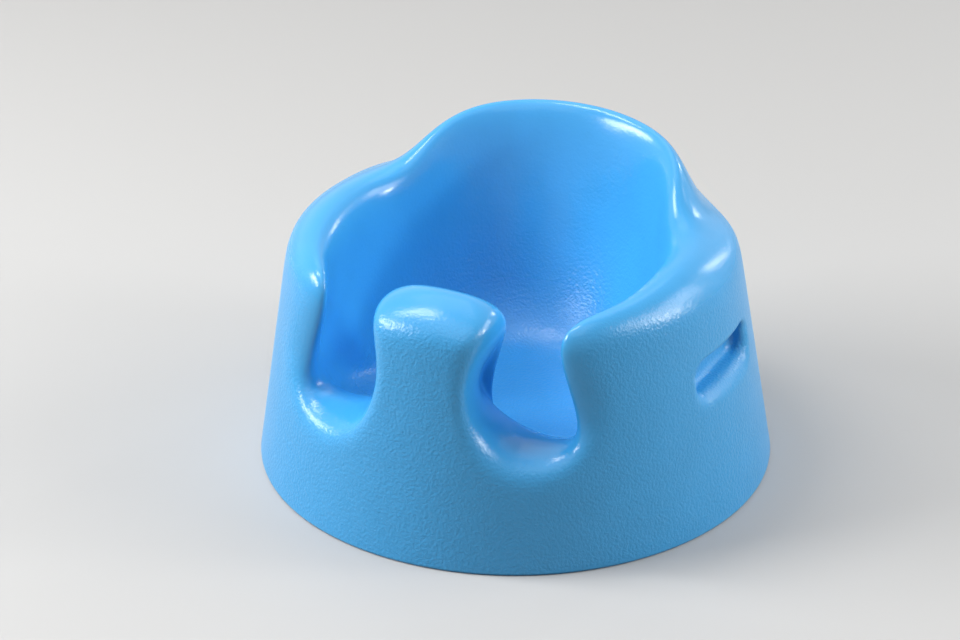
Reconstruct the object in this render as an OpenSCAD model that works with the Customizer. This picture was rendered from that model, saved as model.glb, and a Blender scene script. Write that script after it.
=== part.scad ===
// Baby floor seat: one block of soft foam, moulded with its own tough skin.
// A round base carries a wall that draws in as it rises. Its rim dips into two leg openings with a
// pommel between them, runs level as two armrests and climbs to a backrest. Inside is a round bowl.
// A slot in each side takes the foot of a play tray.
//
// Frame: the origin is the middle of the underside, +Z is up and -Y is the front, where the pommel
// stands. Left and right are the sitter's own, so left is +X. Lengths are millimetres, and an angle
// round the seat runs from the front, 0, to the middle of the backrest, 180.

/* [Body] */
// Diameter of the underside
base_d = 375; // [340:1:420]
// Slope of the outer wall, in degrees from upright
wall_draft = 8.5; // [6:0.5:11]
// Forward lean of the whole body, in degrees
body_lean = 1.35; // [0:0.05:3]
// Height of the bowl's floor above the ground
floor_h = 58; // [45:1:66]

/* [Backrest] */
// Height of the top of the backrest
back_h = 221; // [205:1:250]
// Width of the backrest between its top corners
back_w = 186; // [170:1:205]
// Thickness of the backrest at its rim
back_t = 42; // [34:1:50]

/* [Armrests] */
// Height of the armrests
arm_h = 185; // [170:1:200]
// Width of an armrest
arm_t = 48; // [40:1:56]
// Thickness of the wall beside the leg, under the armrest's front end
cheek_t = 21; // [16:1:26]

/* [Pommel and leg openings] */
// Height of the pommel
pommel_h = 189; // [165:1:200]
// Width of the pommel at its top
pommel_w = 90; // [76:1:100]
// Depth of the pommel, front to back
pommel_t = 60; // [50:1:68]
// Width of the pommel's neck, at half its height
neck_w = 70; // [60:1:76]
// Width of a leg opening, at half its height
leg_w = 86; // [76:1:98]
// Height of the sill that a leg rests on
sill_h = 84; // [76:1:98]

/* [Tray slots] */
// Length of a slot
slot_l = 77; // [60:1:90]
// Height of a slot
slot_h = 28; // [22:1:32]
// Depth of a slot
slot_depth = 18; // [10:1:25]
// Height of the middle of a slot above the ground
slot_z = 114; // [90:1:120]
// Radius of a slot's corners
slot_r = 10; // [4:1:10]
// Where a slot sits, in degrees round from the front
slot_angle = 87; // [80:1:100]

/* [Skin] */
// Thickness of the skin on the wall, the rim and the bowl
skin_t = 2; // [1:0.5:3]
// Thickness of the skin on the underside
base_skin_t = 2; // [1:0.5:4]
// Thickness of the skin that lines a slot
slot_skin_t = 2; // [1:0.5:3]

/* [Hidden] */

skin_blue = [0.27, 0.63, 0.93];
slot_blue = [0.16, 0.50, 0.84];
foam_cream = [0.90, 0.86, 0.74];

// The outer wall is a cone round an axis that leans forward.
function wall_r(z) = base_d / 2 - z * tan(wall_draft);
function lean_y(z) = -(z - base_skin_t) * tan(body_lean);
function in_place(p) = [p[1] * sin(p[0]), -p[1] * cos(p[0]) + lean_y(p[2]), p[2]];
// Half the angle that a width fills, on the wall at a given height
function half_angle(width, z) = asin(width / 2 / wall_r(z));

// Angles of the main features, from the front round to the back
corner_a = half_angle(pommel_w, pommel_h - 18);
corner_in_a = asin(pommel_w / 2 / (wall_r(pommel_h - 18) - pommel_t)) - 1;
neck_a = half_angle(neck_w, (sill_h + pommel_h) / 2);
cheek_a = neck_a + 2 * half_angle(leg_w, (sill_h + arm_h) / 2);
leg_a = cheek_a - neck_a;
shoulder_a = 180 - half_angle(back_w, back_h - 50);

// Height between the sill and the tops on each side of a leg opening, as a share
function beside_pommel(share) = sill_h + share * (pommel_h - sill_h);
function beside_arm(share) = sill_h + share * (arm_h - sill_h);

// Stations round one half of the rim. Each is the set of control points of one section:
//   [angle and height of the rim's outer edge],
//   [angle, thickness and height of the rim's inner edge],
//   [how far the rim's crown stands over the line between them, outside and inside, and how far
//    it leans towards the leg opening, in degrees],
//   [angle, lean of the bowl's wall, and height of its middle as a share of the rim's],
//   [angle, inset of the bowl's floor from the wall],
//   [angle at the foot of the outer wall, and the point that holds the wall straight under the
//    rim: its angle back from the rim's edge and its depth below it]
stations = [
    // pommel: middle, shoulder and top corner
    [[0, pommel_h - 14], [0, pommel_t, pommel_h - 12], [13, 17, 0],
        [0, 7, 0.45], [0, 17], [0, 0, 20]],
    [[corner_a * 0.54, pommel_h - 16], [corner_in_a * 0.78, pommel_t + 3, pommel_h - 17],
        [12, 13, 0.5], [9, 7, 0.45], [9, 16], [3, 4.5, 21]],
    [[corner_a - 1.5, pommel_h - 18], [corner_in_a + 0.5, pommel_t - 7, pommel_h - 33],
        [10, 6, 2], [14, 9, 0.44], [17, 16], [6.5, 9.5, 17]],
    // neck and its root
    [[neck_a - 1, beside_pommel(0.53)], [neck_a - 4.5, pommel_t - 5, beside_pommel(0.37)],
        [2, 2, 2.5], [neck_a + 2, 9, 0.44], [23, 15], [11, 4, 6]],
    [[neck_a + 1, beside_pommel(0.19)], [neck_a + 1.5, pommel_t + 6, beside_pommel(0.12)],
        [2, 2, 2], [neck_a + 11, 3, 0.43], [31, 14], [16, 4, 11]],
    // sill of the leg opening: inner end, middle and outer end
    [[neck_a + leg_a * 0.27, sill_h - 5], [neck_a + leg_a * 0.42, pommel_t + 8, sill_h - 3],
        [7, 6, 0.5], [32, 2, 0.46], [40, 14], [22, 3, 18]],
    [[neck_a + leg_a * 0.61, sill_h - 10], [neck_a + leg_a * 0.75, 50, sill_h - 5],
        [7, 7, 0], [41, 8, 0.38], [49, 20], [30, 0, 21]],
    [[cheek_a - 2, sill_h], [cheek_a + 1.5, cheek_t + 9, sill_h - 1],
        [4, 4, -1.5], [cheek_a + 6.5, 5, 0.48], [57, 38], [37, -4, 16]],
    // cheek beside the leg, and the blunt nose of the armrest that overhangs it
    [[cheek_a + 5, beside_arm(0.31)], [cheek_a + 9, cheek_t + 3, beside_arm(0.26)],
        [3, 2, -9], [cheek_a + 15, 14, 0.5], [64, 30], [47, -4, 5]],
    [[cheek_a - 1, arm_h - 28], [cheek_a + 5, cheek_t + 3, arm_h - 32],
        [8, 10, -10], [cheek_a + 16.5, 22, 0.49], [70, 21], [58, -8, 7]],
    [[cheek_a + 3.5, arm_h - 15], [cheek_a + 9, cheek_t + 6, arm_h - 19],
        [13, 14, -8], [cheek_a + 23, 22, 0.51], [77, 18], [65, -6, 17]],
    // armrest: front, middle and rear
    [[cheek_a + 15.5, arm_h - 16], [cheek_a + 16.5, arm_t - 10, arm_h - 17],
        [14, 13, -0.5], [73, 11, 0.55], [84, 21], [71, -3, 22]],
    [[79, arm_h - 15], [79, arm_t + 1, arm_h - 10], [14, 15, 0],
        [87, 6, 0.56], [92, 20], [82, 0, 22]],
    [[98, arm_h - 18], [98, arm_t + 3, arm_h - 7], [11, 11, 0],
        [101, 7, 0.57], [103, 26], [97, 0, 22]],
    // rise to the backrest
    [[shoulder_a - 31, arm_h - 12], [shoulder_a - 33, arm_t + 8, arm_h - 2], [2, 8, 0],
        [114, 4, 0.62], [115, 34], [113, 0, 22]],
    [[shoulder_a - 15, back_h - 53], [shoulder_a - 22, back_t + 11, back_h - 19], [-5, 15, 0],
        [128, 7, 0.67], [129, 42], [128, 0, 22]],
    // backrest: top corner, half way and middle
    [[shoulder_a, back_h - 58], [shoulder_a - 5, back_t + 2, back_h - 10], [-1, 29, 0],
        [145, 12, 0.7], [145, 49], [145, 0, 22]],
    [[(shoulder_a + 180) / 2, back_h - 46], [(shoulder_a + 180) / 2 - 2, back_t, back_h - 12],
        [12, 30, 0], [162, 13, 0.7], [162, 50], [162, 0, 22]],
    [[180, back_h - 40], [180, back_t, back_h - 13], [15, 29, 0],
        [180, 13, 0.7], [180, 50], [180, 0, 22]]
];
last = len(stations) - 1;

// Places along a section where the rim's crown has its two control points
crown_at = [0.36, 0.70];
// Shares that place the low ring of the wall and the fillet of the bowl's floor
low_share = 0.42;
low_turn = 0.45;
fillet_share = 0.25;
fillet_turn = 0.55;
// Shares of the floor's radius at its edge and half way in
floor_shares = [0.9, 0.45, 0];

function mix(a, b, share) = a + (b - a) * share;
function on_wall(angle, z) = [angle, wall_r(z), z];

// The twelve control points of the section at station i, as [angle, radius, height]: up the
// outer wall, over the rim, down into the bowl and along its floor to the middle.
function section(s) =
    let (edge = on_wall(s[0][0], s[0][1]),
         under = on_wall(edge[0] - s[5][1], edge[2] - s[5][2]),
         foot = on_wall(s[5][0], base_skin_t),
         low_z = mix(base_skin_t, under[2], low_share),
         low = on_wall(mix(foot[0], under[0], low_turn), low_z),
         inner = [s[1][0], edge[1] - s[1][1], s[1][2]],
         crown = [for (k = [0, 1]) mix(edge, inner, crown_at[k]) + [s[2][2], 0, s[2][k]]],
         wall = [s[3][0], inner[1] - s[3][1], mix(floor_h, inner[2], s[3][2])],
         floor_edge = [s[4][0], wall[1] - s[4][1], floor_h],
         fillet = [mix(wall[0], floor_edge[0], fillet_turn),
                   mix(wall[1], floor_edge[1], fillet_turn),
                   mix(floor_h, wall[2], fillet_share)])
    concat([foot, low, under, edge], crown, [inner, wall, fillet],
           [for (share = floor_shares) [floor_edge[0], floor_edge[1] * share, floor_h]]);
half_cage = [for (s = stations) section(s)];

// A station before the first is the mirror image of one after it, and one past the last is the
// mirror image of one before it, which closes the ring.
function cage_point(i, ring) =
    let (turns = i > last ? 1 : i < -last ? -1 : 0,
         p = half_cage[abs(i - 2 * last * turns)][ring],
         side = i - 2 * last * turns < 0 ? -1 : 1)
    [side * p[0] + 360 * turns, p[1], p[2]];

// The surface is a uniform cubic B-spline over the cage, in angle, radius and height.
function weights(t) =
    [pow(1 - t, 3), 3 * pow(t, 3) - 6 * pow(t, 2) + 4,
     -3 * pow(t, 3) + 3 * pow(t, 2) + 3 * t + 1, pow(t, 3)] / 6;
// Steps between stations, and between one ring of the cage and the next
round_steps = 3;
ring_steps = [1, 2, 3, 3, 3, 3, 3, 2, 3, 1, 1];
columns = 2 * last * round_steps;

function ring_points(ring) =
    [for (i = [-last : last - 1], k = [0 : round_steps - 1])
        weights(k / round_steps) * [for (j = [-1 : 2]) cage_point(i + j, ring)]];
rings = [for (ring = [0 : len(ring_steps)]) ring_points(ring)];
// One more ring past each end makes the surface start and stop on the first and last rings.
long_rings = concat([2 * rings[0] - rings[1]], rings,
                    [2 * rings[len(ring_steps)] - rings[len(ring_steps) - 1]]);
function row_at(i, t) =
    let (w = weights(t))
    [for (c = [0 : columns - 1])
        in_place(w * [for (j = [0 : 3]) long_rings[i + j][c]])];
// Rows of the outer surface, without the single point in the middle of the floor
outer_rows = [for (i = [0 : len(ring_steps) - 1], k = [0 : ring_steps[i] - 1])
    row_at(i, k / ring_steps[i])];
rows = len(outer_rows);
middle = in_place([0, 0, floor_h]);

// The skin's inner face lies skin_t under the outer one, along its normal. At the bottom it
// moves in level, so that both faces end on the underside's skin.
function unit(v) = v / norm(v);
function next_point(row, c) = outer_rows[row][(c + 1) % columns];
function last_point(row, c) = outer_rows[row][(c + columns - 1) % columns];
function normal(row, c) =
    let (along = next_point(row, c) - last_point(row, c),
         up = (row == rows - 1 ? middle : outer_rows[row + 1][c]) - outer_rows[row - 1][c])
    unit(cross(along, up));
function inset_point(row, c) =
    let (p = outer_rows[row][c])
    row == 0 ? p * (1 - skin_t / norm([p[0], p[1]])) + [0, 0, p[2] * skin_t / norm([p[0], p[1]])]
             : p - skin_t * normal(row, c);
inner_rows = [for (row = [0 : rows - 1]) [for (c = [0 : columns - 1]) inset_point(row, c)]];
inner_middle = middle - [0, 0, skin_t];

function flat_list(lists) = [for (list = lists, item = list) item];
// Triangles of a dome of rows that closes on one point, numbered from first
function dome_faces(first) = concat(
    [for (row = [0 : rows - 2], c = [0 : columns - 1], half = [0, 1])
        let (a = first + row * columns + c,
             b = first + row * columns + (c + 1) % columns)
        half == 0 ? [a, a + columns, b] : [b, a + columns, b + columns]],
    [for (c = [0 : columns - 1])
        [first + (rows - 1) * columns + c, first + rows * columns,
         first + (rows - 1) * columns + (c + 1) % columns]]);
function reversed(faces) = [for (f = faces) [f[2], f[1], f[0]]];

// The foam fills the skin down to the underside.
module foam_block() {
    polyhedron(
        points = concat(flat_list(inner_rows), [inner_middle]),
        faces = concat(dome_faces(0), [[for (c = [0 : columns - 1]) c]]));
}

// The skin closes on a flat ring where it meets the skin of the underside.
module skin_shell() {
    inside = rows * columns + 1;
    polyhedron(
        points = concat(flat_list(outer_rows), [middle], flat_list(inner_rows), [inner_middle]),
        faces = concat(
            dome_faces(0),
            reversed(dome_faces(inside)),
            [for (c = [0 : columns - 1], half = [0, 1])
                let (d = (c + 1) % columns)
                half == 0 ? [c, d, inside + c] : [d, inside + d, inside + c]]));
}

module rounded_rectangle(length, height, radius) {
    square([length - 2 * radius, height], center = true);
    square([length, height - 2 * radius], center = true);
    for (x = [-1, 1], y = [-1, 1])
        translate([x * (length / 2 - radius), y * (height / 2 - radius)])
            circle(r = radius, $fn = 48);
}

// Room that a slot and its lining take out of the side, or the slot alone when spare is 0.
// It runs level, straight out from the seat's middle and past the wall. side is 1 for the left.
module slot_room(side, spare) {
    past_wall = 20;
    deep = slot_depth + spare;
    translate(in_place([side * slot_angle, wall_r(slot_z) - deep, slot_z]))
        rotate([90, 0, side * slot_angle])
            linear_extrude(deep + past_wall)
                rounded_rectangle(slot_l + 2 * spare, slot_h + 2 * spare, slot_r + spare);
}

module both_slot_rooms() {
    slot_room(1, slot_skin_t);
    slot_room(-1, slot_skin_t);
}

// A slot's lining stops just inside the outer wall, so that only the skin shows there.
module slot_skin(side) {
    lining_gap = 0.3;
    intersection() {
        difference() {
            slot_room(side, slot_skin_t);
            slot_room(side, 0);
        }
        translate([0, lean_y(slot_z), 0])
            cylinder(h = arm_h, r1 = wall_r(0) - lining_gap, r2 = wall_r(arm_h) - lining_gap,
                     $fn = 180);
    }
}

module foam_core() {
    color(foam_cream)
        difference() {
            foam_block();
            both_slot_rooms();
        }
}

module seat_skin() {
    color(skin_blue)
        difference() {
            skin_shell();
            both_slot_rooms();
        }
}

module base_skin() {
    color(skin_blue)
        cylinder(h = base_skin_t, r1 = wall_r(0), r2 = wall_r(base_skin_t), $fn = 180);
}

module left_slot_skin() {
    color(slot_blue)
        slot_skin(1);
}

module right_slot_skin() {
    color(slot_blue)
        slot_skin(-1);
}

foam_core();
seat_skin();
base_skin();
left_slot_skin();
right_slot_skin();
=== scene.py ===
import math
import bmesh
import bpy
import numpy as np
from mathutils import Euler, Matrix, Vector


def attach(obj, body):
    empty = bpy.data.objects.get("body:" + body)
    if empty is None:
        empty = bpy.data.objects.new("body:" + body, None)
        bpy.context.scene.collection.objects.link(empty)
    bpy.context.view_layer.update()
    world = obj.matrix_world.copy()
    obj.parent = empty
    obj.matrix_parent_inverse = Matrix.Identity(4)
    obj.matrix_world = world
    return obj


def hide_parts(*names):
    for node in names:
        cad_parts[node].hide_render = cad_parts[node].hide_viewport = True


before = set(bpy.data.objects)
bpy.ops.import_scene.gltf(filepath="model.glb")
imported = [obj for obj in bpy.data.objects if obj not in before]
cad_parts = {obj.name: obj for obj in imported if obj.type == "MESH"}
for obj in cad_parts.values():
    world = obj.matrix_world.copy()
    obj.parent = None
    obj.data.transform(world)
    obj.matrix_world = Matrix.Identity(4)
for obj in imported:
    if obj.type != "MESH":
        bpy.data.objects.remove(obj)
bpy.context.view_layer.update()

# The body of the seat. It is one block of flexible foam, cast in a mould whose wall gives the
# foam a tough, pebbled skin of its own, so wall, rim and bowl are one unbroken surface. The
# mould's side slides press a slot for a play tray into each flank. Lengths are millimetres.
mm = 0.001
base_d, wall_draft, body_lean, floor_h = 375, 8.5, 1.35, 58
back_h, back_w, back_t = 221, 186, 42
arm_h, arm_t, cheek_t = 185, 48, 21
pommel_h, pommel_w, pommel_t, neck_w = 189, 90, 60, 70
leg_w, sill_h = 86, 84
foot_h = 2          # the wall starts this high, on the skin of the underside


def wall_r(z):
    """Radius of the outer wall, a cone, at a height."""
    return base_d / 2 - z * math.tan(math.radians(wall_draft))


def in_place(a, r, z):
    """The point at an angle round from the front, a radius and a height, on the leaning body."""
    a = np.radians(a)
    lean = (z - foot_h) * math.tan(math.radians(body_lean))
    return np.stack([r * np.sin(a), -r * np.cos(a) - lean, z], axis=-1)


def half_angle(width, z):
    """Half the angle that a width fills on the wall at a height."""
    return math.degrees(math.asin(width / 2 / wall_r(z)))


def beside_pommel(share):
    return sill_h + share * (pommel_h - sill_h)


def beside_arm(share):
    return sill_h + share * (arm_h - sill_h)


corner = half_angle(pommel_w, pommel_h - 18)
corner_in = math.degrees(math.asin(pommel_w / 2 / (wall_r(pommel_h - 18) - pommel_t))) - 1
neck = half_angle(neck_w, (sill_h + pommel_h) / 2)
cheek = neck + 2 * half_angle(leg_w, (sill_h + arm_h) / 2)
leg = cheek - neck
shoulder = 180 - half_angle(back_w, back_h - 50)

# Sections round one half of the seat, from the middle of the pommel to the middle of the
# backrest. Each has: angle and height of the rim's outer edge; angle, thickness and height of
# its inner edge; rise of the crown outside and inside, and its lean; angle, lean and height
# share of the bowl's wall; angle and inset of the floor; angle at the foot, and the angle and
# the drop of the point that holds the wall straight under the rim.
sections = [
    # pommel: middle, shoulder and top corner
    (0, pommel_h - 14, 0, pommel_t, pommel_h - 12, 13, 17, 0, 0, 7, 0.45, 0, 17, 0, 0, 20),
    (corner * 0.54, pommel_h - 16, corner_in * 0.78, pommel_t + 3, pommel_h - 17,
     12, 13, 0.5, 9, 7, 0.45, 9, 16, 3, 4.5, 21),
    (corner - 1.5, pommel_h - 18, corner_in + 0.5, pommel_t - 7, pommel_h - 33,
     10, 6, 2, 14, 9, 0.44, 17, 16, 6.5, 9.5, 17),
    # neck of the pommel and its root
    (neck - 1, beside_pommel(0.53), neck - 4.5, pommel_t - 5, beside_pommel(0.37),
     2, 2, 2.5, neck + 2, 9, 0.44, 23, 15, 11, 4, 6),
    (neck + 1, beside_pommel(0.19), neck + 1.5, pommel_t + 6, beside_pommel(0.12),
     2, 2, 2, neck + 11, 3, 0.43, 31, 14, 16, 4, 11),
    # sill of the leg opening: inner end, middle and outer end
    (neck + leg * 0.27, sill_h - 5, neck + leg * 0.42, pommel_t + 8, sill_h - 3,
     7, 6, 0.5, 32, 2, 0.46, 40, 14, 22, 3, 18),
    (neck + leg * 0.61, sill_h - 10, neck + leg * 0.75, 50, sill_h - 5,
     7, 7, 0, 41, 8, 0.38, 49, 20, 30, 0, 21),
    (cheek - 2, sill_h, cheek + 1.5, cheek_t + 9, sill_h - 1,
     4, 4, -1.5, cheek + 6.5, 5, 0.48, 57, 38, 37, -4, 16),
    # cheek beside the leg, and the blunt nose of the armrest that overhangs it
    (cheek + 5, beside_arm(0.31), cheek + 9, cheek_t + 3, beside_arm(0.26),
     3, 2, -9, cheek + 15, 14, 0.5, 64, 30, 47, -4, 5),
    (cheek - 1, arm_h - 28, cheek + 5, cheek_t + 3, arm_h - 32,
     8, 10, -10, cheek + 16.5, 22, 0.49, 70, 21, 58, -8, 7),
    (cheek + 3.5, arm_h - 15, cheek + 9, cheek_t + 6, arm_h - 19,
     13, 14, -8, cheek + 23, 22, 0.51, 77, 18, 65, -6, 17),
    # armrest: front, middle and rear
    (cheek + 15.5, arm_h - 16, cheek + 16.5, arm_t - 10, arm_h - 17,
     14, 13, -0.5, 73, 11, 0.55, 84, 21, 71, -3, 22),
    (79, arm_h - 15, 79, arm_t + 1, arm_h - 10, 14, 15, 0, 87, 6, 0.56, 92, 20, 82, 0, 22),
    (98, arm_h - 18, 98, arm_t + 3, arm_h - 7, 11, 11, 0, 101, 7, 0.57, 103, 26, 97, 0, 22),
    # rise to the backrest
    (shoulder - 31, arm_h - 12, shoulder - 33, arm_t + 8, arm_h - 2,
     2, 8, 0, 114, 4, 0.62, 115, 34, 113, 0, 22),
    (shoulder - 15, back_h - 53, shoulder - 22, back_t + 11, back_h - 19,
     -5, 15, 0, 128, 7, 0.67, 129, 42, 128, 0, 22),
    # backrest: top corner, half way and middle
    (shoulder, back_h - 58, shoulder - 5, back_t + 2, back_h - 10,
     -1, 29, 0, 145, 12, 0.7, 145, 49, 145, 0, 22),
    (shoulder / 2 + 90, back_h - 46, shoulder / 2 + 88, back_t, back_h - 12,
     12, 30, 0, 162, 13, 0.7, 162, 50, 162, 0, 22),
    (180, back_h - 40, 180, back_t, back_h - 13, 15, 29, 0, 180, 13, 0.7, 180, 50, 180, 0, 22),
]
last_section = len(sections) - 1
crown_at = (0.36, 0.70)                 # where the rim's crown has its two control points
low_share, low_turn = 0.42, 0.45        # place of the ring low on the wall
fillet_share, fillet_turn = 0.25, 0.55  # place of the ring in the bowl's fillet
floor_shares = (0.9, 0.45, 0)           # rings of the floor, as shares of its radius


def control_points(edge_a, edge_z, in_a, thick, in_z, rise_out, rise_in, crown_lean,
                   bowl_a, bowl_lean, bowl_share, floor_a, inset, foot_a, back_off, drop):
    """The twelve control points of a section, as (angle, radius, height): up the outer wall,
    over the rim, down into the bowl and along its floor to the middle."""
    def on_wall(a, z):
        return np.array([a, wall_r(z), z])

    def mix(p, q, share):
        return p + (q - p) * share

    edge = on_wall(edge_a, edge_z)
    under = on_wall(edge_a - back_off, edge_z - drop)
    foot = on_wall(foot_a, foot_h)
    low = on_wall(mix(foot_a, under[0], low_turn), mix(foot_h, under[2], low_share))
    inner = np.array([in_a, edge[1] - thick, in_z])
    crown = [mix(edge, inner, at) + np.array([crown_lean, 0, rise])
             for at, rise in zip(crown_at, (rise_out, rise_in))]
    wall = np.array([bowl_a, inner[1] - bowl_lean, mix(floor_h, in_z, bowl_share)])
    floor_edge = np.array([floor_a, wall[1] - inset, floor_h])
    fillet = np.array([mix(wall[0], floor_edge[0], fillet_turn),
                       mix(wall[1], floor_edge[1], fillet_turn),
                       mix(floor_h, wall[2], fillet_share)])
    floor = [floor_edge * np.array([1, share, 1]) for share in floor_shares]
    return np.array([foot, low, under, edge, *crown, inner, wall, fillet, *floor])


half_cage = [control_points(*s) for s in sections]


def cage_section(i):
    """Section i of the whole ring, from -last_section at the back over 0 at the front."""
    turns = (i > last_section) - (i < -last_section)
    i -= 2 * last_section * turns
    side = -1 if i < 0 else 1
    return half_cage[abs(i)] * np.array([side, 1, 1]) + np.array([360 * turns, 0, 0])


ring_of_sections = np.array([cage_section(i) for i in range(-last_section - 1, last_section + 3)])
# One more ring past each end makes the surface start and stop on the first and last rings.
cage = np.concatenate([2 * ring_of_sections[:, :1] - ring_of_sections[:, 1:2], ring_of_sections,
                       2 * ring_of_sections[:, -1:] - ring_of_sections[:, -2:-1]], axis=1)
spans = ring_of_sections.shape[1] - 1


def spline_weights(t):
    """Weights of the four control points next to a place on a uniform cubic B-spline."""
    return np.stack([(1 - t) ** 3, 3 * t ** 3 - 6 * t ** 2 + 4,
                     -3 * t ** 3 + 3 * t ** 2 + 3 * t + 1, t ** 3], axis=-1) / 6


def unrolled(u, v):
    """Angle, radius and height where the surface has section u and ring v."""
    i = np.clip(np.floor(u), -last_section, last_section - 1).astype(int)
    j = np.clip(np.floor(v), 0, spans - 1).astype(int)
    wu, wv = spline_weights(u - i), spline_weights(v - j)
    near = np.arange(4)
    patch = cage[(i + last_section)[:, None, None] + near[None, :, None],
                 j[:, None, None] + near[None, None, :]]
    return np.einsum("pi,pj,pijk->pk", wu, wv, patch)


# The sheet that becomes the body starts flat, with one strip of faces for each step round the
# seat and more steps over the rim, where it bends most.
steps_per_section = 12
steps_per_span = (9, 9, 10, 12, 12, 12, 12, 10, 10, 5, 3)
row_v = np.concatenate([j + np.arange(n) / n for j, n in enumerate(steps_per_span)] + [[spans]])
columns, rows = 2 * last_section * steps_per_section, len(row_v) - 1
sheet = bmesh.new()
bmesh.ops.create_grid(sheet, x_segments=columns, y_segments=rows, size=1)
for vert in sheet.verts:
    column = round((vert.co.x + 1) / 2 * columns)
    row = round((vert.co.y + 1) / 2 * rows)
    vert.co = (column / steps_per_section - last_section, row_v[row], 0)

# Round each slot the sheet is cut finer, so that the slot's edges come out smooth.
slot_l, slot_h, slot_depth, slot_z, slot_r, slot_angle = 77, 28, 18, 114, 10, 87
edge_margin = 26    # how far round a slot the wall is cut finer
slot_cuts = 6
wall_rings = 3.2    # what lies under this ring is the outer wall


def places(bm_verts):
    """Sheet coordinates of vertices, and where they lie unrolled."""
    uv = np.array([v.co[:2] for v in bm_verts])
    return uv, unrolled(uv[:, 0], uv[:, 1])


sheet.verts.ensure_lookup_table()
sheet_uv, flat = places(sheet.verts)
around_slot = math.degrees((slot_l / 2 + edge_margin) / wall_r(slot_z))
near_slot = ((np.abs(np.abs(flat[:, 0]) - slot_angle) < around_slot)
             & (np.abs(flat[:, 2] - slot_z) < slot_h / 2 + edge_margin)
             & (sheet_uv[:, 1] < wall_rings))
slot_faces = [f for f in sheet.faces if all(near_slot[v.index] for v in f.verts)]
slot_edges = list(dict.fromkeys(e for f in slot_faces for e in f.edges))
bmesh.ops.subdivide_edges(sheet, edges=slot_edges, cuts=slot_cuts, use_grid_fill=True)
sheet.verts.ensure_lookup_table()
sheet.verts.index_update()
sheet_uv, flat = places(sheet.verts)
body_points = in_place(flat[:, 0], flat[:, 1], flat[:, 2])


def slot_plane(side):
    """The middle of a slot on the wall, and the directions along the slot and out of it."""
    a = math.radians(side * slot_angle)
    return (in_place(side * slot_angle, wall_r(slot_z), slot_z),
            np.array([math.cos(a), math.sin(a), 0]), np.array([math.sin(a), -math.cos(a), 0]))


def out_to_wall(start, out_dir):
    """How far the outer wall is from points of a slot's upright plane."""
    axis = np.zeros_like(start)
    axis[:, 1] = -(start[:, 2] - foot_h) * math.tan(math.radians(body_lean))
    off = (start - axis)[:, :2]
    b = off @ out_dir[:2]
    c = (off ** 2).sum(axis=1) - wall_r(start[:, 2]) ** 2
    return -b + np.sqrt(np.maximum(b * b - c, 0))


# The slide drags the skin in with it: from wall_pulled outside the slot's outline, over a round
# lip and a round heel, to back_pulled inside it. The lip is sharp at the top and soft below.
top_lip, side_lip, bottom_lip, heel_r = 1.5, 9.0, 12.0, 6.0
wall_pulled, back_pulled = 20.0, 10.0
bend = np.radians(np.linspace(0, 90, 13))


def slot_profile(lip_r):
    """Way from the wall into a slot: distance from the slot's outline, outside positive, and
    share of the depth, both against the share of the way."""
    lip = [(lip_r * (1 - s), lip_r * (1 - c)) for s, c in zip(np.sin(bend), np.cos(bend))]
    heel = [(-heel_r * (1 - c), slot_depth - heel_r * (1 - s))
            for s, c in zip(np.sin(bend), np.cos(bend))]
    way = np.array([(wall_pulled, 0)] + lip + heel + [(-back_pulled, slot_depth)])
    length = np.concatenate([[0], np.cumsum(np.hypot(*np.diff(way, axis=0).T))])
    return length / length[-1], way[:, 0], way[:, 1] / slot_depth


for side in (1, -1):
    middle, along_dir, out_dir = slot_plane(side)
    across = (body_points - middle) @ along_dir
    up = body_points[:, 2] - slot_z
    # Distance from the slot's outline, which is an oblong with round corners.
    past_x, past_z = np.abs(across) - (slot_l / 2 - slot_r), np.abs(up) - (slot_h / 2 - slot_r)
    dist = (np.hypot(np.maximum(past_x, 0), np.maximum(past_z, 0))
            + np.minimum(np.maximum(past_x, past_z), 0) - slot_r)
    on_side = (flat[:, 0] * side > 0) & (sheet_uv[:, 1] < wall_rings)
    pick = np.where(on_side & (dist < wall_pulled))[0]
    across, up, dist = across[pick], up[pick], dist[pick]
    past_x, past_z = np.maximum(past_x[pick], 0), np.maximum(past_z[pick], 0)
    on_back = (past_x == 0) & (past_z == 0)
    size = np.where(on_back, 1, np.hypot(past_x, past_z))
    way_x, way_z = np.sign(across) * past_x / size, np.sign(up) * past_z / size
    share_in = np.clip((wall_pulled - dist) / (wall_pulled + back_pulled), 0, 1)
    new_dist, depth = np.empty_like(dist), np.empty_like(dist)
    for k, rise in enumerate(way_z):
        lip_r = side_lip + abs(rise) * ((top_lip if rise > 0 else bottom_lip) - side_lip)
        share, away, deep = slot_profile(lip_r)
        new_dist[k] = np.interp(share_in[k], share, away)
        depth[k] = np.interp(share_in[k], share, deep)
    # The flat back only moves in.
    move = np.where(on_back, 0, new_dist - dist)
    depth = np.where(on_back, 1, depth)
    across, up = across + move * way_x, up + move * way_z
    start = middle + across[:, None] * along_dir + up[:, None] * np.array([0, 0, 1.0])
    level = out_to_wall(start, out_dir) * (1 - depth) - slot_depth * depth
    body_points[pick] = start + level[:, None] * out_dir

for vert, p in zip(sheet.verts, body_points):
    vert.co = Vector(p) * mm

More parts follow.
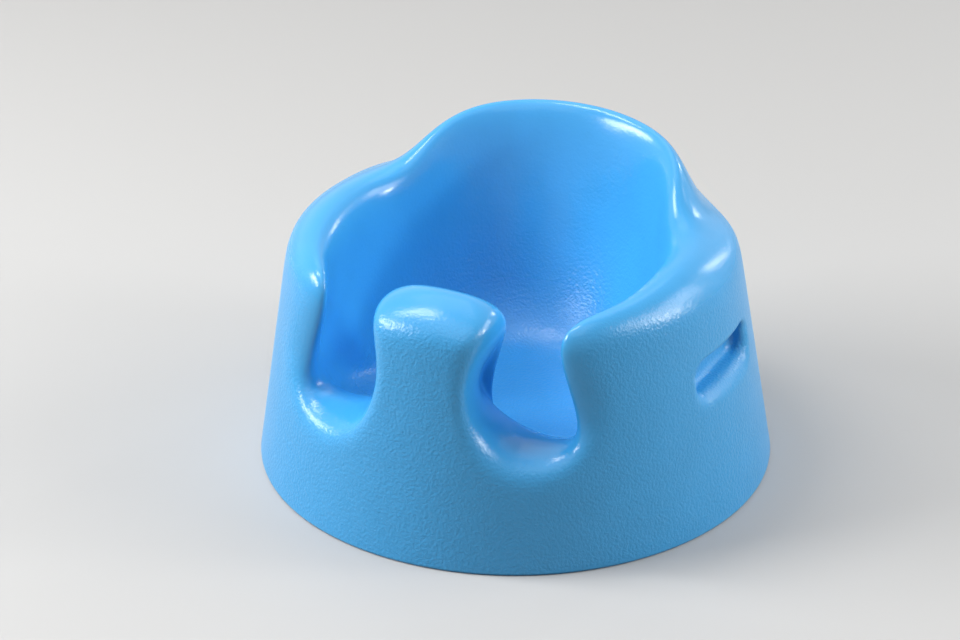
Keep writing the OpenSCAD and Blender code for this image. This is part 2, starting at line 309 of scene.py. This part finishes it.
# How strongly the mould's grain shows, ring by ring: full on the outer wall and low in the bowl,
# and faint on the rim, where the skin is smooth.
grain_rings = [(0, 1.0), (2.6, 1.0), (3.3, 0.5), (4, 0.15), (6, 0.15),
               (7.2, 0.3), (8, 0.8), (9, 1.0), (11, 1.0)]
weld = 0.01    # points closer than this, where the sheet's ends meet, become one
grain_layer = sheet.verts.layers.float.new("grain")
for vert, v in zip(sheet.verts, sheet_uv[:, 1]):
    vert[grain_layer] = float(np.interp(v, *zip(*grain_rings)))
bmesh.ops.remove_doubles(sheet, verts=sheet.verts, dist=weld * mm)
bmesh.ops.recalc_face_normals(sheet, faces=sheet.faces)
body_mesh = bpy.data.meshes.new("seat_body")
sheet.to_mesh(body_mesh)
sheet.free()
body_mesh.polygons.foreach_set("use_smooth", [True] * len(body_mesh.polygons))
seat_body = bpy.data.objects.new("seat_body", body_mesh)
bpy.context.collection.objects.link(seat_body)

# Moulded skin: sky blue, semi-gloss, with the mould's fine pebbles and a slow, soft waviness.
skin_colour, colour_spread = (0.05, 0.37, 0.76), 0.05
rim_roughness, wall_roughness, wave_strength = 0.19, 0.3, 0.35
skin = bpy.data.materials.new("moulded_skin")
skin.use_nodes = True
nodes, links = skin.node_tree.nodes, skin.node_tree.links
shader = nodes["Principled BSDF"]
where = nodes.new("ShaderNodeTexCoord")
grain = nodes.new("ShaderNodeAttribute")
grain.attribute_name = "grain"


def lumps(per_metre, detail=2.0):
    """A noise on the piece's own coordinates, so many lumps to the metre."""
    n = nodes.new("ShaderNodeTexNoise")
    n.inputs["Scale"].default_value = per_metre
    n.inputs["Detail"].default_value = detail
    links.new(where.outputs["Object"], n.inputs["Vector"])
    return n.outputs["Fac"]


def relief(height, deep):
    """A bump node that raises the skin by a noise, deep millimetres at most."""
    n = nodes.new("ShaderNodeBump")
    n.inputs["Distance"].default_value = deep * mm
    links.new(height, n.inputs["Height"])
    return n


shade = nodes.new("ShaderNodeMix")
shade.data_type = "RGBA"
shade.inputs["A"].default_value = (*(c * (1 - colour_spread) for c in skin_colour), 1)
shade.inputs["B"].default_value = (*(c * (1 + colour_spread) for c in skin_colour), 1)
links.new(lumps(35), shade.inputs["Factor"])
links.new(shade.outputs["Result"], shader.inputs["Base Color"])

waves, pebbles = relief(lumps(70, 1.5), 0.6), relief(lumps(470), 0.6)
waves.inputs["Strength"].default_value = wave_strength
links.new(grain.outputs["Fac"], pebbles.inputs["Strength"])
links.new(waves.outputs["Normal"], pebbles.inputs["Normal"])
links.new(pebbles.outputs["Normal"], shader.inputs["Normal"])

# The smooth rim shines more than the grained wall.
gloss = nodes.new("ShaderNodeMapRange")
gloss.inputs["To Min"].default_value = rim_roughness
gloss.inputs["To Max"].default_value = wall_roughness
links.new(grain.outputs["Fac"], gloss.inputs["Value"])
links.new(gloss.outputs["Result"], shader.inputs["Roughness"])
body_mesh.materials.append(skin)

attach(seat_body, "root")
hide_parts("seat_skin", "foam_core", "left_slot_skin", "right_slot_skin")

# The underside. The lower half of the mould casts it as a flat disc with a small round edge,
# and the two halves meet in a fine line just above the ground.
foot_round, round_steps = 2.0, 6
mould_line = 0.02   # the disc stops this far inside the wall
underside = bmesh.new()
bmesh.ops.create_circle(underside, cap_ends=True, segments=columns,
                        radius=(wall_r(0) - foot_round) * mm)
rim_edges = list(underside.edges)
for step in range(1, round_steps + 1):
    turn = math.radians(90 * step / round_steps)
    made = bmesh.ops.extrude_edge_only(underside, edges=rim_edges)["geom"]
    ring = [g for g in made if isinstance(g, bmesh.types.BMVert)]
    rim_edges = [g for g in made if isinstance(g, bmesh.types.BMEdge)]
    height = foot_h * (1 - math.cos(turn))
    radius = wall_r(foot_h) - foot_round * (1 - math.sin(turn)) - mould_line
    for v in ring:
        v.co = Vector((v.co.x, v.co.y, 0)).normalized() * radius * mm + Vector((0, 0, height * mm))
bmesh.ops.recalc_face_normals(underside, faces=underside.faces)
underside_mesh = bpy.data.meshes.new("seat_underside")
grain_layer = underside.verts.layers.float.new("grain")
for v in underside.verts:
    v[grain_layer] = 1.0
underside.to_mesh(underside_mesh)
underside.free()
underside_mesh.polygons.foreach_set("use_smooth", [True] * len(underside_mesh.polygons))
underside_mesh.materials.append(skin)
seat_underside = bpy.data.objects.new("seat_underside", underside_mesh)
bpy.context.collection.objects.link(seat_underside)
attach(seat_underside, "root")
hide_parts("base_skin")

# The floor is pale and plain, and is not part of the seat. The camera and reflections see it
# pale, but it throws less light up on the seat.
floor_r = 6                                    # metres
floor_lit, floor_seen = (0.30, 0.28, 0.25, 1), (0.53, 0.525, 0.515, 1)
ground = bmesh.new()
bmesh.ops.create_circle(ground, cap_ends=True, segments=64, radius=floor_r)
ground_mesh = bpy.data.meshes.new("floor")
ground.to_mesh(ground_mesh)
ground.free()
floor = bpy.data.objects.new("floor", ground_mesh)
bpy.context.collection.objects.link(floor)
paving = bpy.data.materials.new("pale_floor")
paving.use_nodes = True
paving_nodes, paving_links = paving.node_tree.nodes, paving.node_tree.links
paving_shader = paving_nodes["Principled BSDF"]
paving_shader.inputs["Roughness"].default_value = 0.6


def seen_rays(nodes, links):
    """1 for what the camera sees, directly or in a reflection, and 0 for light on the seat."""
    ray = nodes.new("ShaderNodeLightPath")
    seen, mirrored = nodes.new("ShaderNodeMath"), nodes.new("ShaderNodeMath")
    seen.operation = mirrored.operation = "MAXIMUM"
    links.new(ray.outputs["Is Camera Ray"], seen.inputs[0])
    links.new(ray.outputs["Is Glossy Ray"], mirrored.inputs[0])
    links.new(ray.outputs["Is Transmission Ray"], mirrored.inputs[1])
    links.new(mirrored.outputs["Value"], seen.inputs[1])
    return seen.outputs["Value"]


tone = paving_nodes.new("ShaderNodeMix")
tone.data_type = "RGBA"
tone.inputs["A"].default_value = floor_lit
tone.inputs["B"].default_value = floor_seen
paving_links.new(seen_rays(paving_nodes, paving_links), tone.inputs["Factor"])
paving_links.new(tone.outputs["Result"], paving_shader.inputs["Base Color"])
ground_mesh.materials.append(paving)

# Soft white light from a long panel overhead, a wide one over the front, a window on each side,
# one high behind, and two small panels that draw the highlights. Each is given by its direction
# round from the front and its height in degrees, its distance, width and height in metres, and
# its power in watts.
lamps = [
    ("overhead_panel", -80, 63, 1.9, 0.22, 0.9, 13),
    ("front_overhead", 5, 66, 1.8, 1.5, 1.5, 6.5),
    ("left_window", -62, 30, 2.3, 1.3, 0.6, 48),
    ("right_panel", 106, 20, 1.8, 0.35, 0.12, 8),
    ("right_window", 112, 32, 2.5, 2.2, 0.8, 29),
    ("back_window", -150, 62, 2.5, 1.8, 1.6, 8),
    ("rear_panel", 160, 20, 1.8, 0.1, 0.25, 2),
]
aim = Vector((0, 0, 0.11))    # half way up the seat
for name, turn, rise, away, width, height, power in lamps:
    lamp = bpy.data.lights.new(name, "AREA")
    lamp.shape = "RECTANGLE"
    lamp.size, lamp.size_y, lamp.energy = width, height, power
    panel = bpy.data.objects.new(name, lamp)
    turn, rise = math.radians(turn), math.radians(rise)
    level = Vector((math.sin(turn), -math.cos(turn), 0))
    out = level * math.cos(rise) + Vector((0, 0, math.sin(rise)))
    panel.location = aim + out * away
    panel.rotation_euler = (-out).to_track_quat("-Z", "Y").to_euler()
    bpy.context.collection.objects.link(panel)

# The room looks bright to the camera and in reflections, and adds only a little light.
room_light, room_seen = 0.08, 1.0
world = bpy.data.worlds.new("room")
bpy.context.scene.world = world
world.use_nodes = True
world_nodes, world_links = world.node_tree.nodes, world.node_tree.links
world_nodes["Background"].inputs["Color"].default_value = (0.95, 0.97, 1.0, 1)
room = world_nodes.new("ShaderNodeMapRange")
room.inputs["To Min"].default_value = room_light
room.inputs["To Max"].default_value = room_seen
world_links.new(seen_rays(world_nodes, world_links), room.inputs["Value"])
world_links.new(room.outputs["Result"], world_nodes["Background"].inputs["Strength"])
bpy.context.scene.view_settings.view_transform = "Standard"

# The camera stands in front of the seat, to its left and above it, as the photograph's did.
camera_place = Vector((1.0847, -2.4422, 1.5325))
camera_turn, camera_pitch, camera_roll = 24.5, 28.147, -0.262
camera = bpy.data.objects.new("camera", bpy.data.cameras.new("camera"))
camera.data.sensor_width = 36
camera.data.lens = 156.68
facing = Euler((math.radians(90 - camera_pitch), 0, math.radians(camera_turn))).to_matrix()
camera.matrix_world = (Matrix.Translation(camera_place) @ facing.to_4x4()
                       @ Matrix.Rotation(math.radians(camera_roll), 4, "Z"))
bpy.context.collection.objects.link(camera)
bpy.context.scene.camera = camera
